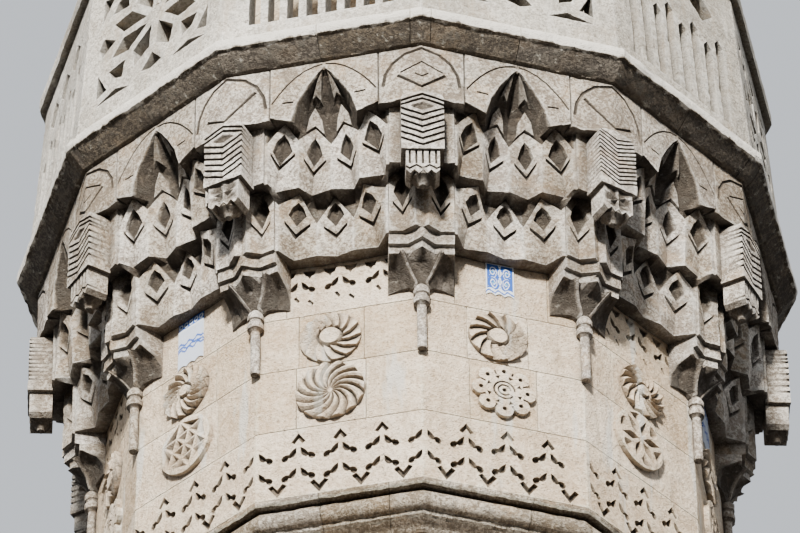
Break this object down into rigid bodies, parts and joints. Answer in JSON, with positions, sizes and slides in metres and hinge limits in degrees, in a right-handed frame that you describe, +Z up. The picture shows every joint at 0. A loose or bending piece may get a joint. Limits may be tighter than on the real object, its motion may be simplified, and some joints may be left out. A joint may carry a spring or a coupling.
{
  "type": "minaret balcony stage",
  "caption": "Twelve-sided stone balcony stage of a minaret: carved drum, muqarnas corbelling with pendants, cornice, pierced parapet and the foot of the upper shaft.",
  "frame": {"origin": "on the vertical axis, at the middle of the lowest face", "axes": "+Z up, one corner of the twelve-sided plan towards -Y"},
  "size_m": [3.562, 3.562, 4.762],
  "materials": {
    "wall_stone": "weathered dressed limestone ashlar",
    "carved_stone": "carved limestone with grime in the recesses",
    "cornice_stone": "rough limestone with lichen and dark crust",
    "parapet_stone": "pale pierced limestone slabs",
    "tile": "glazed wall tile, blue and white"
  },
  "bodies": {
    "root": {"shaft_head": "wall_stone", "drum_wall_1": "wall_stone", "drum_wall_2": "wall_stone", "drum_wall_3": "wall_stone", "drum_wall_4": "wall_stone", "upper_shaft_wall_1": "wall_stone", "upper_shaft_wall_2": "wall_stone", "upper_shaft_wall_3": "wall_stone", "upper_shaft_door_bay": "wall_stone", "roll_moulding": "carved_stone", "corner_bracket_1": "carved_stone", "corner_bracket_2": "carved_stone", "corner_bracket_3": "carved_stone", "corner_bracket_4": "carved_stone", "corner_bracket_5": "carved_stone", "corner_bracket_6": "carved_stone", "corner_bracket_7": "carved_stone", "corner_bracket_8": "carved_stone", "corner_bracket_9": "carved_stone", "corner_bracket_10": "carved_stone", "corner_bracket_11": "carved_stone", "corner_bracket_12": "carved_stone", "muqarnas_bay_1": "carved_stone", "muqarnas_bay_2": "carved_stone", "muqarnas_bay_3": "carved_stone", "muqarnas_bay_4": "carved_stone", "muqarnas_bay_5": "carved_stone", "muqarnas_bay_6": "carved_stone", "muqarnas_bay_7": "carved_stone", "muqarnas_bay_8": "carved_stone", "muqarnas_bay_9": "carved_stone", "muqarnas_bay_10": "carved_stone", "muqarnas_bay_11": "carved_stone", "muqarnas_bay_12": "carved_stone", "cornice": "cornice_stone", "balcony_floor": "cornice_stone", "parapet_coping": "parapet_stone", "parapet_panel_1": "parapet_stone", "parapet_panel_2": "parapet_stone", "parapet_panel_3": "parapet_stone", "parapet_panel_4": "parapet_stone", "parapet_panel_5": "parapet_stone", "parapet_panel_6": "parapet_stone", "parapet_panel_7": "parapet_stone", "parapet_panel_8": "parapet_stone", "parapet_panel_9": "parapet_stone", "parapet_panel_10": "parapet_stone", "parapet_panel_11": "parapet_stone", "parapet_panel_12": "parapet_stone"}
  },
  "joints": []
}
